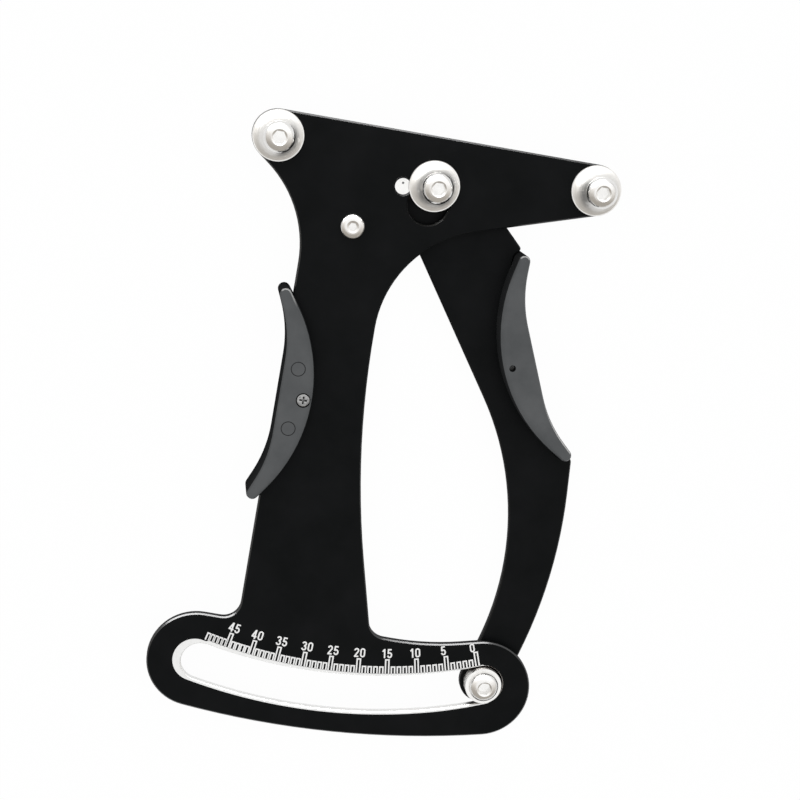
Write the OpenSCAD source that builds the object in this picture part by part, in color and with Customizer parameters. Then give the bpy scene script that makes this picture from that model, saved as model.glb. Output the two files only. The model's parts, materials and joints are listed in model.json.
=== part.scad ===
// Spoke tension meter: a dial plate with two fixed posts, and a lever with the moving post and the pointer.
// Sizes are in millimetres. The tool lies on its back, dial up, with +X along the line of the fixed posts.
// The layout is drawn from the pivot, and place() carries it to the centre of the footprint.

/* [Plates] */
// Thickness of the dial plate
plate_t = 3; // [2.5:0.1:3.5]
// Thickness of the lever
lever_t = 3; // [2.5:0.1:3.5]
// Running gap between the dial plate and the lever, filled at the pivot by the thrust washer
plate_gap = 0.5; // [0.4:0.1:1]

/* [Dial plate outline] */
// Rounding of the two upper corners, about the fixed posts
corner_r = 8.6; // [8.6:0.1:9.4]
// Distance of the straight left edge from the pivot
left_edge = 30; // [29:0.5:32]
// Hollow below the left post
flank_r = 39; // [36:0.5:42]
// Width of the left arm where the finger gap is widest
arm_w = 29.1; // [28.5:0.1:30.5]
// Rounding at the top of the finger gap
gap_top_r = 38.8; // [37:0.2:40]
// Height of the centre of that rounding below the pivot
gap_top_y = 48.2; // [47:0.2:49]
// Radius of the long curve beside the finger gap
gap_side_r = 322; // [310:2:340]
// Corner between the finger gap and the dial
gap_corner_r = 6.4; // [5:0.2:8]
// Rounding of the dial's left end
lobe_r = 17; // [16:0.2:18.4]
// Corner between the left edge and the dial
lobe_corner_r = 6; // [5:0.2:6.4]
// Radius of the long curve of the dial's foot
foot_r = 316; // [300:2:330]
// Radius of the hollow over the dial's right half
brow_r = 98; // [96:0.5:100]

/* [Posts] */
// Distance between the two fixed posts
post_span = 108; // [106:0.5:112]
// Distance of the left post from the pivot, along the posts' line
left_post_x = 43.5; // [42:0.5:45]
// Height of the posts' line above the pivot
post_y = 9.5; // [8.5:0.1:10]
// Radius of the flange under each post
flange_r = 8.5; // [8:0.1:8.6]
// Thickness of the flange's rim
flange_t = 0.8; // [0.6:0.1:1.2]
// Radius of the neck that the spoke bears on
neck_r = 4.2; // [4:0.1:4.6]
// Height of a post above the dial plate
post_h = 8.8; // [8:0.1:10]
// Distance of the moving post from the pivot
moving_arm = 10.4; // [10:0.1:11]
// Angle of the moving post above the posts' line, at rest
moving_angle = 10; // [8:1:12]
// Radius of the spigot that carries the moving post through the dial plate
spigot_r = 4.6; // [4.2:0.1:4.8]
// Half width of the curved window round the spigot
window_r = 6.8; // [6.4:0.1:7]

/* [Screws] */
// Shank radius of the post screws and the pointer screw
screw_r = 2.95; // [2.9:0.01:3]
// Head radius of a post screw
head_r = 5.25; // [5:0.05:5.4]
// Head height of a post screw
head_h = 3.3; // [3:0.1:3.5]
// Width across flats of the hexagon key
key_w = 4; // [3.5:0.1:4.2]
// Width across flats of a nut
nut_w = 10; // [9.6:0.1:10.4]
// Thickness of the nuts under the dial plate
plate_nut_h = 5; // [4:0.1:5.5]
// Thickness of the nuts under the lever
lever_nut_h = 3.2; // [2.8:0.1:3.6]
// Clearance round every screw and pin that does not turn
snug = 0.05; // [0.03:0.01:0.08]

/* [Pivot] */
// Radius of the pivot pin
pin_r = 2.7; // [2.5:0.05:2.9]
// Running clearance of the bush on the pin
running = 0.04; // [0.02:0.01:0.08]
// Outer radius of the bush
bush_r = 4; // [3.8:0.1:4.4]
// Radius of the thrust washer
thrust_r = 5.2; // [5:0.1:5.4]
// Thickness of the washer behind the lever
tail_washer_t = 0.6; // [0.5:0.1:0.8]
// Thickness of the retaining clip
clip_t = 0.7; // [0.6:0.1:0.9]
// Outer radius of the retaining clip
clip_r = 4; // [3.7:0.1:4.2]

/* [Dial slot and pointer] */
// Radius of the middle of the dial slot, about the pivot
slot_r = 178.2; // [177:0.2:179]
// Half width of the dial slot
slot_half = 6.7; // [6.7:0.1:7]
// Angle of the slot's right end, from straight down
slot_right = 19.5; // [19:0.1:20]
// Angle of the slot's left end, from straight down
slot_left = 13.2; // [12.8:0.1:13.6]
// Free travel left at each end of the slot, in degrees
slot_spare = 0.15; // [0.12:0.01:0.25]
// Radius of the pointer bush that runs in the slot
pointer_r = 6.4; // [6.2:0.05:6.5]
// Height of the pointer bush above the dial plate
pointer_rise = 1; // [0.8:0.1:1.4]
// Thickness of the collar under the pointer screw's head
collar_t = 0.8; // [0.6:0.1:1.2]

/* [Lever outline] */
// Rounding about the moving post
post_boss_r = 9.3; // [8.8:0.1:9.6]
// Rounding about the pivot
pivot_boss_r = 8.5; // [8:0.1:8.8]
// Distance of the lever's left edge from the pivot
lever_offset = 3.7; // [3.4:0.1:4]
// Angle of the lever's left edge below the posts' line
lever_angle = 56.5; // [56:0.1:57]
// Radius of the bend in the left edge
bend_r = 104.6; // [103.8:0.1:104.8]
// Radius of the long curve on the right
back_r = 173; // [171:0.5:175]
// Reach of the lever's right edge from the pivot
back_reach = 77; // [76.6:0.1:77.4]
// Rounding of the lever's tip, about the pointer
tip_r = 7.7; // [7.4:0.1:7.9]

/* [Grips] */
// Distance of the left grip's middle below the pivot
left_grip_down = 75.8; // [75:0.2:77]
// Distance of the right grip's middle to the right of the pivot
right_grip_x = 59.7; // [58.7:0.1:60.5]
// Distance of the right grip's middle below the pivot
right_grip_down = 48.6; // [48:0.1:49.4]
// Lean of the right grip, in degrees
right_grip_turn = 23; // [22:0.5:24]
// Length of a grip between the ends of its horns
grip_l = 73.2; // [73:0.2:76]
// Height of a grip
grip_h = 16; // [15:0.5:18]
// Depth of the crescent, from the horns' line to its inner edge
grip_w = 16.8; // [16:0.2:17]
// Depth of the finger hollow between the horns
hollow_w = 5.4; // [5:0.1:5.5]
// Length of the straight floor of the finger hollow
hollow_l = 25; // [23:0.2:25.6]
// Rounding of a horn's end
horn_r = 2.1; // [2:0.1:2.3]
// Radius of the crescent's inner edge
crescent_r = 55; // [53:0.5:55.5]
// Radius of the curve from the hollow to a horn
horn_sweep = 44; // [40:1:45]
// Wall outside the plate that the grip holds
grip_wall = 1.8; // [1.5:0.1:2.2]
// Clearance of the plate in the grip's slot
grip_fit = 0.1; // [0.05:0.01:0.15]
// Rounding of a grip's edges
grip_edge = 1.4; // [1:0.1:1.8]
// Distance of the grip screw from the inner edge
grip_screw_in = 3.1; // [2.8:0.1:3.6]
// Shank radius of a grip screw
grip_screw_r = 1.1; // [1:0.05:1.25]
// Head radius of a grip screw
grip_head_r = 2.35; // [2.2:0.05:2.5]
// Spacing of the two round marks left by the mould
mould_mark_gap = 20.6; // [18:0.2:23]

/* [Return spring] */
// Diameter of the spring's wire
wire_d = 0.9; // [0.8:0.02:1]
// Mean radius of a curl
coil_r = 2.4; // [2.2:0.05:2.6]
// Number of curls
coils = 7; // [6:1:7]
// Distance of the hook pin from the pivot
hook_arm = 18.9; // [18.6:0.1:19.2]
// Angle of the hook pin at rest, from the posts' line
hook_angle = 168.4; // [167:0.2:170]
// Distance of the spring's anchor from the pivot
anchor_arm = 21.4; // [21:0.1:22]
// Angle of the anchor, from the posts' line
anchor_angle = 228; // [226:0.5:230]
// Height of the wire's middle above the surface that the tool lies on
spring_z = 3.4; // [3.3:0.1:3.6]
// Radius of the spool's groove
spool_groove_r = 2.8; // [2.5:0.1:3]
// Radius of the hook pin's groove
hook_groove_r = 1.6; // [1.4:0.1:1.8]

/* [Hidden] */
$fn = 64;
past = 1;                            // how far a cut runs past the faces that it opens
facet_sag = 0.02;                    // how far a rounding's short sides may lie inside its true curve

// Levels, up from the surface that the tool lies on
lever_z = (grip_h - lever_t - plate_gap - plate_t) / 2;
lever_top = lever_z + lever_t;
plate_z = lever_top + plate_gap;
plate_top = plate_z + plate_t;

// Places in the layout, from the pivot
left_post = [-left_post_x, post_y];
right_post = [post_span - left_post_x, post_y];
moving_post_at = moving_arm * [cos(moving_angle), sin(moving_angle)];
anchor_at = anchor_arm * [cos(anchor_angle), sin(anchor_angle)];
hook_at = hook_arm * [cos(hook_angle), sin(hook_angle)];
swing = slot_right + slot_left - 2 * slot_spare;
pointer_at = slot_r * down(slot_right - slot_spare);

// Grip frames: [middle of the horns' line, turn of the outward direction]
floor_in = 0.6;                      // how far the hollow's floor lies inside the plate's straight edge
left_grip_at = [-left_edge - hollow_w + floor_in, -left_grip_down];
left_grip_turn = 180;
right_grip_at = [right_grip_x, -right_grip_down];
seat_in = hollow_w + grip_wall;      // depth of the plates' seat behind the horns' line
seat_r = 2;                          // rounding of a seat's inner corners
// A seat ends where the grip's inner edge crosses its floor, so that no gap shows beside the grip
seat_half = sqrt(pow(crescent_r, 2) - pow(crescent_r - grip_w + seat_in, 2));

// The dial's two ends and its foot
short_run = 0.2;                     // space between two neighbouring discs, spanned by a short straight run
left_end_past = 0.5;                 // degrees from the slot's left end to the middle of the dial's
right_end_before = 0.4;              // degrees from the middle of the dial's right end to the slot's
right_end_out = 1.6;                 // how far the middle of the dial's right end lies outside the slot's
lobe_left_at = slot_r * down(-slot_left - left_end_past);
lobe_right_at = (slot_r + right_end_out) * down(slot_right - right_end_before);
foot_y = lobe_left_at[1] + sqrt(pow(foot_r - lobe_r, 2) - pow(lobe_left_at[0], 2));
lobe_right_r = foot_r - norm(lobe_right_at - [0, foot_y]);
gap_edge_x = arm_w - left_edge;
flank_x = -left_edge - flank_r;
flank_y = post_y - sqrt(pow(flank_r + corner_r + short_run, 2) - pow(left_post[0] - flank_x, 2));
lobe_corner_y = lobe_left_at[1] + lobe_r + lobe_corner_r - short_run;
brow_x = 28;                         // middle of the hollow over the dial's right half
brow_y = lobe_right_at[1]
    + sqrt(pow(brow_r + lobe_right_r + short_run, 2) - pow(lobe_right_at[0] - brow_x, 2));
gap_corner_y = brow_y - brow_r + gap_corner_r + short_run;
gap_corner_out = 0.9;                // how far the gap's lower corner runs out past its side curve
gap_corner_x = gap_edge_x + gap_side_r - gap_corner_out
    - sqrt(pow(gap_side_r - gap_corner_r, 2) - pow(gap_corner_y + gap_top_y, 2));

// Dial plate outline: discs [x, y, r] that a belt runs round, anticlockwise. A negative r is a hollow.
plate_discs = [
    [right_post[0], right_post[1], corner_r],
    [left_post[0], left_post[1], corner_r],
    [flank_x, flank_y, -flank_r],
    [-left_edge - lobe_corner_r, lobe_corner_y, -lobe_corner_r],
    [lobe_left_at[0], lobe_left_at[1], lobe_r],
    [0, foot_y, foot_r],
    [lobe_right_at[0], lobe_right_at[1], lobe_right_r],
    [brow_x, brow_y, -brow_r],
    [gap_corner_x, gap_corner_y, -gap_corner_r],
    [gap_edge_x + gap_side_r, -gap_top_y, -gap_side_r],
    [gap_edge_x + gap_top_r, -gap_top_y, -gap_top_r]
];

// Lever outline
edge_way = [cos(lever_angle), -sin(lever_angle)];
edge_out = [-sin(lever_angle), -cos(lever_angle)];
crotch_r = 15;                       // hollow between the pivot's boss and the lever's left edge
crotch_along = 17;                   // its distance from the pivot, along that edge
crotch_at = (lever_offset + crotch_r) * edge_out + crotch_along * edge_way;
tail_r = 3.6;                        // rounding of the tail, about the hook pin
scoop_at = [-15.5, -8.6];            // hollow under the tail
scoop_r = 9;
bend_up = 42;                        // height of the bend's middle above the pointer
bend_across = sqrt(pow(bend_r + tip_r + short_run, 2) - pow(bend_up, 2));
bend_at = pointer_at + [-bend_across, bend_up];
back_y = -110;                       // height of the point where the lever reaches furthest right
horn_room = 0.3;                     // space between a horn's end and the lever
horn_end = grip_l / 2 + horn_room;
horn_at = [-horn_r, grip_l / 2 - horn_r];
shoulder_r = 2;                      // rounding of the shoulder under the right grip
shoulder_in = 1.5;                   // how far the shoulder's middle lies inside the horns' line
ledge_r = 1.2;                       // rounding of the ledge over the right grip
ledge_in = 2.5;                      // how far the ledge's middle lies inside the horns' line
wing_r = 6;                          // rounding of the shoulder over the right grip's ledge
wing_at = [24, -3.1];
lever_discs = [
    [moving_post_at[0], moving_post_at[1], post_boss_r],
    [hook_at[0], hook_at[1], tail_r],
    [scoop_at[0], scoop_at[1], -scoop_r],
    [0, 0, pivot_boss_r],
    [crotch_at[0], crotch_at[1], -crotch_r],
    [bend_at[0], bend_at[1], -bend_r],
    [pointer_at[0], pointer_at[1], tip_r],
    [back_reach - back_r, back_y, back_r],
    grip_disc(-shoulder_in, -horn_end - shoulder_r, shoulder_r),
    grip_disc(horn_at[0], -horn_at[1], -horn_r - horn_room),
    grip_disc(-seat_in + seat_r, -seat_half + seat_r, -seat_r),
    grip_disc(-seat_in + seat_r, seat_half - seat_r, -seat_r),
    grip_disc(horn_at[0], horn_at[1], -horn_r - horn_room),
    grip_disc(-ledge_in, horn_end + ledge_r, ledge_r),
    [wing_at[0], wing_at[1], wing_r]
];

// Middle of the footprint, from the pivot
foot_min = [lobe_left_at[0] - lobe_r, foot_y - foot_r];
foot_max = [back_reach, post_y + corner_r];
middle = (foot_min + foot_max) / 2;

// --- geometry helpers ---

// Direction at an angle from straight down, positive to the right
function down(a) = [sin(a), -cos(a)];
function limit(x) = max(-1, min(1, x));
// Heading of the belt's straight run from disc a to disc b
function run_heading(a, b) =
    let (d = [b[0] - a[0], b[1] - a[1]])
    atan2(d[1], d[0]) + asin(limit((a[2] - b[2]) / norm(d)));
function whole_turn(a) = a - 360 * floor((a + 0.001) / 360);
// Angle that the belt turns through on a disc, positive on a round and negative on a hollow
function disc_turn(from, to, r) = r > 0 ? whole_turn(to - from) : -whole_turn(from - to);
function disc_steps(turn, r) = max(2, ceil(abs(turn) / (2 * acos(1 - facet_sag / max(abs(r), 0.5)))));
// Points of a belt round the discs; fixed gives the number of steps on each disc
function belt(discs, fixed = []) = [
    for (i = [0:len(discs) - 1])
        let (
            d = discs[i],
            from = run_heading(discs[(i + len(discs) - 1) % len(discs)], d),
            turn = disc_turn(from, run_heading(d, discs[(i + 1) % len(discs)]), d[2]),
            steps = len(fixed) > 0 ? fixed[i] : disc_steps(turn, d[2])
        )
        for (k = [0:steps])
            let (h = from + turn * k / steps)
            [d[0] + d[2] * sin(h), d[1] - d[2] * cos(h)]
];
// Outline of a curved slot about the pivot, between two angles from straight down
function slot_discs(r, half, left, right) = [
    concat(r * down(left), [half]),
    [0, 0, r + half],
    concat(r * down(right), [half]),
    [0, 0, half - r]
];
function turned(p, a) = [p[0] * cos(a) - p[1] * sin(a), p[0] * sin(a) + p[1] * cos(a)];
// A disc of the lever given in the right grip's frame: outward, then along
function grip_disc(out, along, r) = concat(right_grip_at + turned([out, along], right_grip_turn), [r]);

module place(at = [0, 0], z = 0) {
    translate([at[0] - middle[0], at[1] - middle[1], z]) children();
}

// Cut for a round hole through a sheet whose lower face is at z = 0
module hole(at, r, t) {
    translate([at[0], at[1], -past]) cylinder(h = t + 2 * past, r = r);
}

// Cut along an outline through a sheet whose lower face is at z = 0
module cut_out(discs, t) {
    translate([0, 0, -past]) linear_extrude(t + 2 * past) polygon(belt(discs));
}

module ring(r, inner, h) {
    difference() {
        cylinder(h = h, r = r);
        hole([0, 0], inner, h);
    }
}

// Solid between rings of points, each ring with the same even number of points. Strips across the ring
// close its two ends, the first of them beside the points tip and tip + 1.
module loft(rings, tip = 0) {
    n = len(rings[0]);
    points = [for (ring = rings) for (p = ring) p];
    sides = [for (i = [0:len(rings) - 2]) for (k = [0:n - 1])
        let (a = i * n + k, b = i * n + (k + 1) % n)
        each [[a, a + n, b], [b, a + n, b + n]]];
    strips = [for (k = [0:n / 2 - 2])
        [for (i = [tip - k - 1, tip - k, tip + k + 1, tip + k + 2]) (i + n) % n]];
    end = (len(rings) - 1) * n;
    lids = [for (strip = strips) each [strip, [for (i = [3:-1:0]) end + strip[i]]]];
    polyhedron(points, concat(sides, lids), convexity = 8);
}

// --- fasteners ---

crown_flat = 0.52;                   // share of a button head's radius where its top is flat
mouth_h = 0.4;                       // height of the cone at the mouth of a hexagon socket
mouth_edge = 0.1;                    // width of the flat edge round that cone
key_floor = 0.4;                     // share of the head's height below the hexagon socket
nut_tip = 0.6;                       // how far a screw stands out of its nut

// Button head screw, with the underside of its head at z = 0
module button_screw(r, l, hr, hh, key, flange = 0, flange_h = 0) {
    rim = 0.5;
    crown_r = hr * crown_flat;
    crown_end = acos(crown_flat);
    crown = [for (k = [0:9])
        let (a = crown_end * k / 9)
        [hr * cos(a), flange_h + rim + (hh - rim) * sin(a) / sin(crown_end)]];
    seat = flange > 0 ? [[flange, 0], [flange, flange_h], [hr, flange_h]] : [[hr, 0]];
    difference() {
        union() {
            rotate_extrude() polygon(concat([[0, 0]], seat, crown, [[0, flange_h + hh]]));
            translate([0, 0, -l]) cylinder(h = l + rim, r = r);
        }
        translate([0, 0, flange_h + hh * key_floor])
            cylinder(h = hh, r = key / sqrt(3), $fn = 6);
        translate([0, 0, flange_h + hh - mouth_h])
            cylinder(h = mouth_h, r1 = key / 2, r2 = crown_r - mouth_edge);
    }
}

module hex_nut(w, h, bore_r) {
    difference() {
        cylinder(h = h, r = w / sqrt(3), $fn = 6);
        hole([0, 0], bore_r, h);
    }
}

flange_step = 0.35;                  // width of a flange's flat rim
cone_share = 0.72;                   // share of a post's height that its hollow cone takes
cone_straight = 0.3;                 // share of the cone's rise that is straight, and not hollow

// Turned post: a thin flange, a hollow cone and the neck that the spoke bears on
module turned_post(h, spigot = 0) {
    cone_foot = flange_r - flange_step;
    cone_h = h * cone_share;
    flank = [for (a = [0:10:90])
        [cone_foot - (cone_foot - neck_r) * sin(a),
            flange_t + cone_h * (cone_straight * sin(a) + (1 - cone_straight) * (1 - cos(a)))]];
    foot = spigot > 0 ? [[screw_r + snug, -spigot], [spigot_r, -spigot], [spigot_r, 0]]
        : [[screw_r + snug, 0]];
    rotate_extrude()
        polygon(concat(foot, [[flange_r, 0], [flange_r, flange_t]], flank,
            [[neck_r, h], [screw_r + snug, h]]));
}

// --- dial plate and what it carries ---

seat_past = 20;                      // reach of the seat's cut outside the plate

// The left grip's seat, cut into the plate's left edge
module grip_seat() {
    half = seat_half - seat_r;
    translate(left_grip_at) rotate(left_grip_turn) cut_out([
        [-seat_in + seat_r, half, seat_r],
        [-seat_in + seat_r, -half, seat_r],
        [seat_past, -half, seat_r],
        [seat_past, half, seat_r]
    ], plate_t);
}

window_spare = 0.5;                  // free travel of the moving post at its window's upper end, in degrees
window_past = 4.5;                   // the same at its lower end

module main_plate() {
    color([0.07, 0.07, 0.08]) place(z = plate_z) difference() {
        linear_extrude(plate_t) polygon(belt(plate_discs));
        cut_out(slot_discs(slot_r, slot_half, -slot_left, slot_right), plate_t);
        cut_out(slot_discs(moving_arm, window_r, 90 + moving_angle - swing - window_past,
            90 + moving_angle + window_spare), plate_t);
        grip_seat();
        hole(left_post, screw_r + snug, plate_t);
        hole(right_post, screw_r + snug, plate_t);
        hole([0, 0], pin_r + snug, plate_t);
        hole(anchor_at, anchor_screw_r + snug, plate_t);
        hole(grip_screw_place(left_grip_at, left_grip_turn), grip_screw_r + snug, plate_t);
    }
}

module fixed_post(at) {
    color([0.78, 0.78, 0.77]) place(at, plate_top) turned_post(post_h);
}
module fixed_post_left() { fixed_post(left_post); }
module fixed_post_right() { fixed_post(right_post); }

module fixed_post_screw(at) {
    color([0.85, 0.85, 0.84]) place(at, plate_top + post_h)
        button_screw(screw_r, post_h + plate_t + plate_nut_h + nut_tip, head_r, head_h, key_w);
}
module fixed_post_screw_left() { fixed_post_screw(left_post); }
module fixed_post_screw_right() { fixed_post_screw(right_post); }

module fixed_post_nut(at) {
    color([0.8, 0.8, 0.8]) place(at, plate_z - plate_nut_h) hex_nut(nut_w, plate_nut_h, screw_r + snug);
}
module fixed_post_nut_left() { fixed_post_nut(left_post); }
module fixed_post_nut_right() { fixed_post_nut(right_post); }

// --- pivot ---

clip_z = lever_z - tail_washer_t - clip_t;
pin_end = 1.1;                       // length of the pin below the clip
groove_d = 0.6;                      // depth of the clip's groove
groove_r = pin_r - groove_d;
clip_eye_r = 0.5;                    // eyes for the pliers
clip_eye_at = [-1.1, groove_r + 0.75];
clip_mouth = 0.3;                    // how far the clip's mouth holds the pin on each side
washer_rim = 0.4;                    // how far the washer reaches past the clip

module pivot_pin() {
    color([0.83, 0.83, 0.82]) place(z = clip_z - pin_end) difference() {
        cylinder(h = plate_top - clip_z + pin_end, r = pin_r);
        translate([0, 0, pin_end]) ring(pin_r + past, groove_r, clip_t);
    }
}

module thrust_washer() {
    color([0.72, 0.6, 0.35]) place(z = lever_top) ring(thrust_r, pin_r + running, plate_gap);
}
module pivot_bush() {
    color([0.72, 0.6, 0.35]) place(z = lever_z) ring(bush_r, pin_r + running, lever_t);
}
module tail_washer() {
    color([0.75, 0.75, 0.75]) place(z = lever_z - tail_washer_t)
        ring(clip_r + washer_rim, pin_r + running, tail_washer_t);
}
module pivot_clip() {
    color([0.3, 0.3, 0.32]) place(z = clip_z) difference() {
        ring(clip_r, groove_r + snug, clip_t);
        translate([0, -groove_r + clip_mouth, -past])
            cube([clip_r + past, 2 * (groove_r - clip_mouth), clip_t + 2 * past]);
        for (side = [-1, 1])
            hole([clip_eye_at[0], side * clip_eye_at[1]], clip_eye_r, clip_t);
    }
}

// --- return spring and its two ends ---

anchor_screw_r = 1.95;               // shank of the anchor screw
anchor_head_r = 4.2;
anchor_head_h = 2.2;
anchor_key_w = 2.5;
anchor_tip = 0.4;                    // how far the anchor screw stays inside the spool
spool_r = 4.2;                       // spool outside its groove
spool_foot = 1.2;                    // height of the spool's and the pin's lower ends
groove_half = wire_d / 2 + 0.35;     // half the height of a groove
wire_rest = 0.25;                    // slack of a loop round its groove
hook_pin_r = 2.4;                    // hook pin outside its groove
hook_shank_r = 2;                    // end of the hook pin that is set in the lever

module spring_anchor_screw() {
    color([0.85, 0.85, 0.84]) place(anchor_at, plate_top)
        button_screw(anchor_screw_r, plate_top - spool_foot - anchor_tip, anchor_head_r, anchor_head_h,
            anchor_key_w);
}

module spring_spool() {
    color([0.8, 0.8, 0.8]) place(anchor_at) rotate_extrude() polygon([
        [anchor_screw_r + snug, spool_foot],
        [spool_r, spool_foot],
        [spool_r, spring_z - groove_half],
        [spool_groove_r, spring_z - groove_half],
        [spool_groove_r, spring_z + groove_half],
        [spool_r, spring_z + groove_half],
        [spool_r, plate_z],
        [anchor_screw_r + snug, plate_z]
    ]);
}

module spring_hook_pin() {
    color([0.8, 0.8, 0.8]) place(hook_at) rotate_extrude() polygon([
        [0, spool_foot],
        [hook_pin_r, spool_foot],
        [hook_pin_r, spring_z - groove_half],
        [hook_groove_r, spring_z - groove_half],
        [hook_groove_r, spring_z + groove_half],
        [hook_pin_r, spring_z + groove_half],
        [hook_pin_r, lever_z],
        [hook_shank_r, lever_z],
        [hook_shank_r, lever_top],
        [0, lever_top]
    ]);
}

// The spring's path lies along +X from the anchor, and its two loops lie flat
spring_l = norm(hook_at - anchor_at);
spring_turn = atan2(hook_at[1] - anchor_at[1], hook_at[0] - anchor_at[0]);
anchor_loop_r = spool_groove_r + wire_d / 2 + wire_rest;
hook_loop_r = hook_groove_r + wire_d / 2 + wire_rest;
coil_room = wire_d / 2 + 0.6;        // space at each end of the curls, to the middle of the wire
coil_from = spool_r + coil_room;
coil_to = spring_l - tail_r - coil_room;
rings_per_coil = 8;
wire_sides = 6;
loop_steps = 14;
bend_steps = 5;
function bend_point(a, b, c, d, t) =
    pow(1 - t, 3) * a + 3 * pow(1 - t, 2) * t * b + 3 * (1 - t) * t * t * c + pow(t, 3) * d;
loop_open = 35;                      // half angle of a loop's mouth
coil_steps = coils * rings_per_coil;
function coil_point(i) =
    let (a = 360 * i / rings_per_coil)
    [coil_from + (coil_to - coil_from) * i / coil_steps, -coil_r * cos(a), coil_r * sin(a)];
anchor_loop = [for (i = [0:loop_steps])
    let (a = loop_open + (360 - 2 * loop_open) * i / loop_steps)
    anchor_loop_r * [cos(a), sin(a), 0]];
hook_loop = [for (i = [0:loop_steps])
    let (a = 180 + loop_open + (360 - 2 * loop_open) * i / loop_steps)
    [spring_l, 0, 0] + hook_loop_r * [cos(a), sin(a), 0]];
bend_pull = 1.1;                     // how far a bend follows the way it starts and ends
function loop_way(a) = [-sin(a), cos(a), 0];
first_bend = [for (i = [1:bend_steps])
    bend_point(anchor_loop[loop_steps], anchor_loop[loop_steps] + bend_pull * loop_way(-loop_open),
        coil_point(0) - bend_pull * [0, 0, 1], coil_point(0), i / (bend_steps + 1))];
last_bend = [for (i = [1:bend_steps])
    bend_point(coil_point(coil_steps), coil_point(coil_steps) + bend_pull * [0, 0, 1],
        hook_loop[0] - bend_pull * loop_way(180 + loop_open), hook_loop[0], i / (bend_steps + 1))];
spring_path = concat(anchor_loop, first_bend, [for (i = [0:coil_steps]) coil_point(i)], last_bend, hook_loop);

function unit(v) = v / norm(v);
function way_at(path, i) = unit(path[min(i + 1, len(path) - 1)] - path[max(i - 1, 0)]);
function square_to(v, way) = unit(v - (v * way) * way);
// Side vectors carried along the path without twist
function side_vectors(path, i, last) =
    i >= len(path) ? [] :
    let (side = square_to(last, way_at(path, i)))
    concat([side], side_vectors(path, i + 1, side));
// Least space between parts of the wire that lie more than half a curl apart
half_curl = rings_per_coil / 2;
function wire_gap(path) = min([for (i = [0:len(path) - 1])
    for (j = [i + half_curl + 1:1:len(path) - 1]) norm(path[i] - path[j])]) - wire_d;
echo(str("Least gap in the return spring, mm: ", wire_gap(spring_path)));

module return_spring() {
    sides = side_vectors(spring_path, 0, [0, 0, 1]);
    rings = [for (i = [0:len(spring_path) - 1])
        let (way = way_at(spring_path, i), up = cross(way, sides[i]))
        [for (k = [0:wire_sides - 1])
            let (a = 360 * k / wire_sides)
            spring_path[i] + wire_d / 2 * (cos(a) * sides[i] + sin(a) * up)]];
    color([0.7, 0.7, 0.7]) place(anchor_at, spring_z) rotate(spring_turn) loft(rings);
}

// --- grips ---

// Discs of the crescent in its own frame, x outward; inset draws every edge in
function crescent(inset, inner) = [
    [crescent_r - grip_w, 0, crescent_r - inner],
    [horn_at[0], -horn_at[1], horn_r - inset],
    [-hollow_w + horn_sweep, -hollow_l / 2, -horn_sweep - inset],
    [-hollow_w + horn_sweep, hollow_l / 2, -horn_sweep - inset],
    [horn_at[0], horn_at[1], horn_r - inset]
];
disc_steps_each = [19, 9, 9, 9, 9];  // steps on the crescent's discs; the inner edge faces two of the others
horn_tip = 24;                       // point of a ring at the tip of the lower horn
edge_flat = 0.8;                     // width of an outer edge's rounding, as a share of its height
edge_soft = 1.5;                     // the same for the inner edge, which is softer
// Ring of the crescent where an edge's rounding has turned by angle a
function crescent_ring(a, z) =
    let (inset = grip_edge * (1 - sin(a)))
    [for (p = belt(crescent(inset * edge_flat, inset * edge_soft), disc_steps_each)) [p[0], p[1], z]];
// Where a grip's screw passes, in the layout
function grip_screw_place(at, turn) = at + turned([-grip_w + grip_screw_in, 0], turn);

head_pocket = 1.3;                   // depth of the screw head's pocket
head_room = 0.15;                    // clearance round the head
screw_floor = 2;                     // height of the screw's end above the grip's lower face
mark_r = 2.5;                        // round mark left by the mould
mark_line = 0.3;
mark_depth = 0.15;
mark_out = 1.9;                      // how far the marks lie inside the middle of the crescent's depth

slot_step = seat_half - seat_r - grip_fit;                // where the slot grows deeper, near the horns
slot_end_in = 2 * horn_r + horn_room - grip_fit;          // depth of the slot's floor there, from the horns' line

// The moulding, drawn with the screw's head up; slot_low is the height of the slot's lower face
module grip(slot_low, slot_h) {
    low_rings = [for (a = [0:30:90]) crescent_ring(a, grip_edge * (1 - cos(a)))];
    high_rings = [for (a = [90:-30:0]) crescent_ring(a, grip_h - grip_edge * (1 - cos(a)))];
    screw_x = -grip_w + grip_screw_in;
    difference() {
        loft(concat(low_rings, high_rings), horn_tip);
        translate([-grip_w - past, -grip_l / 2, slot_low - grip_fit])
            cube([grip_w + past - seat_in + grip_fit, grip_l, slot_h + 2 * grip_fit]);
        for (end = [-grip_l / 2, slot_step])
            translate([-grip_w - past, end, slot_low - grip_fit])
                cube([grip_w + past - slot_end_in, grip_l / 2 - slot_step, slot_h + 2 * grip_fit]);
        hole([screw_x, 0], grip_screw_r + snug, grip_h);
        translate([screw_x, 0, grip_h - head_pocket])
            cylinder(h = head_pocket + past, r = grip_head_r + head_room);
        for (side = [-1, 1])
            translate([-grip_w / 2 - mark_out, side * mould_mark_gap / 2, grip_h - mark_depth])
                ring(mark_r, mark_r - mark_line, past);
    }
}

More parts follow.
